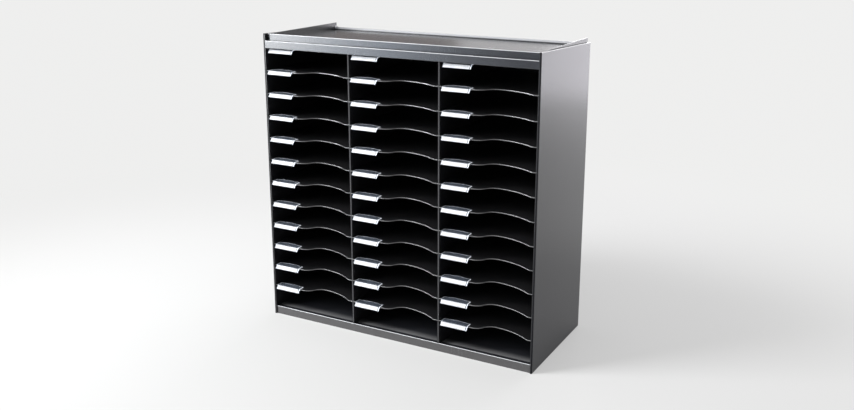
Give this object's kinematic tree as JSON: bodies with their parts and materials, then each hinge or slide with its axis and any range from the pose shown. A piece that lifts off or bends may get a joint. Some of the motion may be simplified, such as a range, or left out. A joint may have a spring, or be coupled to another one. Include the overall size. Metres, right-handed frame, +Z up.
{
  "type": "pigeonhole mail sorter",
  "caption": "Free-standing steel cabinet with columns of letter compartments: thin plastic shelves with finger scoops and clear label holders slide in grooved walls under a rimmed top tray.",
  "frame": {"origin": "middle of the footprint on the floor", "axes": "+Z up, the open front faces -Y, +X to the right seen from the front"},
  "size_m": [0.786, 0.338, 0.7922],
  "materials": {
    "painted_steel": "satin black powder coat on folded sheet steel, fine texture",
    "black_plastic": "matt black moulded plastic with a fine grain",
    "shelf_plastic": "satin black plastic sheet with a smooth cut front edge",
    "clear_plastic": "clear extruded plastic with polished edges",
    "label_card": "plain white card, bare",
    "zinc_steel": "blackened zinc-plated steel"
  },
  "bodies": {
    "cabinet": {"side_skin_left": "painted_steel", "side_skin_right": "painted_steel", "side_liner_left": "black_plastic", "side_liner_right": "black_plastic", "divider_1": "black_plastic", "divider_2": "black_plastic", "top_tray": "painted_steel", "top_rail": "painted_steel", "base_rail": "painted_steel", "base_panel": "painted_steel", "back_panel": "painted_steel", "back_panel_rivets": "zinc_steel", "tray_screws": "zinc_steel", "base_screws": "zinc_steel", "top_label_holders": "clear_plastic", "top_label_cards": "label_card"},
    "shelf_left_01": {"shelf_left_01": "shelf_plastic"},
    "shelf_left_02": {"shelf_left_02": "shelf_plastic"},
    "shelf_left_03": {"shelf_left_03": "shelf_plastic"},
    "shelf_left_04": {"shelf_left_04": "shelf_plastic"},
    "shelf_left_05": {"shelf_left_05": "shelf_plastic"},
    "shelf_left_06": {"shelf_left_06": "shelf_plastic"},
    "shelf_left_07": {"shelf_left_07": "shelf_plastic"},
    "shelf_left_08": {"shelf_left_08": "shelf_plastic"},
    "shelf_left_09": {"shelf_left_09": "shelf_plastic"},
    "shelf_left_10": {"shelf_left_10": "shelf_plastic"},
    "shelf_left_11": {"shelf_left_11": "shelf_plastic"},
    "shelf_middle_01": {"shelf_middle_01": "shelf_plastic"},
    "shelf_middle_02": {"shelf_middle_02": "shelf_plastic"},
    "shelf_middle_03": {"shelf_middle_03": "shelf_plastic"},
    "shelf_middle_04": {"shelf_middle_04": "shelf_plastic"},
    "shelf_middle_05": {"shelf_middle_05": "shelf_plastic"},
    "shelf_middle_06": {"shelf_middle_06": "shelf_plastic"},
    "shelf_middle_07": {"shelf_middle_07": "shelf_plastic"},
    "shelf_middle_08": {"shelf_middle_08": "shelf_plastic"},
    "shelf_middle_09": {"shelf_middle_09": "shelf_plastic"},
    "shelf_middle_10": {"shelf_middle_10": "shelf_plastic"},
    "shelf_middle_11": {"shelf_middle_11": "shelf_plastic"},
    "shelf_right_01": {"shelf_right_01": "shelf_plastic"},
    "shelf_right_02": {"shelf_right_02": "shelf_plastic"},
    "shelf_right_03": {"shelf_right_03": "shelf_plastic"},
    "shelf_right_04": {"shelf_right_04": "shelf_plastic"},
    "shelf_right_05": {"shelf_right_05": "shelf_plastic"},
    "shelf_right_06": {"shelf_right_06": "shelf_plastic"},
    "shelf_right_07": {"shelf_right_07": "shelf_plastic"},
    "shelf_right_08": {"shelf_right_08": "shelf_plastic"},
    "shelf_right_09": {"shelf_right_09": "shelf_plastic"},
    "shelf_right_10": {"shelf_right_10": "shelf_plastic"},
    "shelf_right_11": {"shelf_right_11": "shelf_plastic"}
  },
  "joints": [
    {"name": "slide_left_01", "type": "slide", "parent": "cabinet", "child": "shelf_left_01", "axis": [0, -1, 0], "range_m": [0, 0.28]},
    {"name": "slide_left_02", "type": "slide", "parent": "cabinet", "child": "shelf_left_02", "axis": [0, -1, 0], "range_m": [0, 0.28]},
    {"name": "slide_left_03", "type": "slide", "parent": "cabinet", "child": "shelf_left_03", "axis": [0, -1, 0], "range_m": [0, 0.28]},
    {"name": "slide_left_04", "type": "slide", "parent": "cabinet", "child": "shelf_left_04", "axis": [0, -1, 0], "range_m": [0, 0.28]},
    {"name": "slide_left_05", "type": "slide", "parent": "cabinet", "child": "shelf_left_05", "axis": [0, -1, 0], "range_m": [0, 0.28]},
    {"name": "slide_left_06", "type": "slide", "parent": "cabinet", "child": "shelf_left_06", "axis": [0, -1, 0], "range_m": [0, 0.28]},
    {"name": "slide_left_07", "type": "slide", "parent": "cabinet", "child": "shelf_left_07", "axis": [0, -1, 0], "range_m": [0, 0.28]},
    {"name": "slide_left_08", "type": "slide", "parent": "cabinet", "child": "shelf_left_08", "axis": [0, -1, 0], "range_m": [0, 0.28]},
    {"name": "slide_left_09", "type": "slide", "parent": "cabinet", "child": "shelf_left_09", "axis": [0, -1, 0], "range_m": [0, 0.28]},
    {"name": "slide_left_10", "type": "slide", "parent": "cabinet", "child": "shelf_left_10", "axis": [0, -1, 0], "range_m": [0, 0.28]},
    {"name": "slide_left_11", "type": "slide", "parent": "cabinet", "child": "shelf_left_11", "axis": [0, -1, 0], "range_m": [0, 0.28]},
    {"name": "slide_middle_01", "type": "slide", "parent": "cabinet", "child": "shelf_middle_01", "axis": [0, -1, 0], "range_m": [0, 0.28]},
    {"name": "slide_middle_02", "type": "slide", "parent": "cabinet", "child": "shelf_middle_02", "axis": [0, -1, 0], "range_m": [0, 0.28]},
    {"name": "slide_middle_03", "type": "slide", "parent": "cabinet", "child": "shelf_middle_03", "axis": [0, -1, 0], "range_m": [0, 0.28]},
    {"name": "slide_middle_04", "type": "slide", "parent": "cabinet", "child": "shelf_middle_04", "axis": [0, -1, 0], "range_m": [0, 0.28]},
    {"name": "slide_middle_05", "type": "slide", "parent": "cabinet", "child": "shelf_middle_05", "axis": [0, -1, 0], "range_m": [0, 0.28]},
    {"name": "slide_middle_06", "type": "slide", "parent": "cabinet", "child": "shelf_middle_06", "axis": [0, -1, 0], "range_m": [0, 0.28]},
    {"name": "slide_middle_07", "type": "slide", "parent": "cabinet", "child": "shelf_middle_07", "axis": [0, -1, 0], "range_m": [0, 0.28]},
    {"name": "slide_middle_08", "type": "slide", "parent": "cabinet", "child": "shelf_middle_08", "axis": [0, -1, 0], "range_m": [0, 0.28]},
    {"name": "slide_middle_09", "type": "slide", "parent": "cabinet", "child": "shelf_middle_09", "axis": [0, -1, 0], "range_m": [0, 0.28]},
    {"name": "slide_middle_10", "type": "slide", "parent": "cabinet", "child": "shelf_middle_10", "axis": [0, -1, 0], "range_m": [0, 0.28]},
    {"name": "slide_middle_11", "type": "slide", "parent": "cabinet", "child": "shelf_middle_11", "axis": [0, -1, 0], "range_m": [0, 0.28]},
    {"name": "slide_right_01", "type": "slide", "parent": "cabinet", "child": "shelf_right_01", "axis": [0, -1, 0], "range_m": [0, 0.28]},
    {"name": "slide_right_02", "type": "slide", "parent": "cabinet", "child": "shelf_right_02", "axis": [0, -1, 0], "range_m": [0, 0.28]},
    {"name": "slide_right_03", "type": "slide", "parent": "cabinet", "child": "shelf_right_03", "axis": [0, -1, 0], "range_m": [0, 0.28]},
    {"name": "slide_right_04", "type": "slide", "parent": "cabinet", "child": "shelf_right_04", "axis": [0, -1, 0], "range_m": [0, 0.28]},
    {"name": "slide_right_05", "type": "slide", "parent": "cabinet", "child": "shelf_right_05", "axis": [0, -1, 0], "range_m": [0, 0.28]},
    {"name": "slide_right_06", "type": "slide", "parent": "cabinet", "child": "shelf_right_06", "axis": [0, -1, 0], "range_m": [0, 0.28]},
    {"name": "slide_right_07", "type": "slide", "parent": "cabinet", "child": "shelf_right_07", "axis": [0, -1, 0], "range_m": [0, 0.28]},
    {"name": "slide_right_08", "type": "slide", "parent": "cabinet", "child": "shelf_right_08", "axis": [0, -1, 0], "range_m": [0, 0.28]},
    {"name": "slide_right_09", "type": "slide", "parent": "cabinet", "child": "shelf_right_09", "axis": [0, -1, 0], "range_m": [0, 0.28]},
    {"name": "slide_right_10", "type": "slide", "parent": "cabinet", "child": "shelf_right_10", "axis": [0, -1, 0], "range_m": [0, 0.28]},
    {"name": "slide_right_11", "type": "slide", "parent": "cabinet", "child": "shelf_right_11", "axis": [0, -1, 0], "range_m": [0, 0.28]}
  ]
}
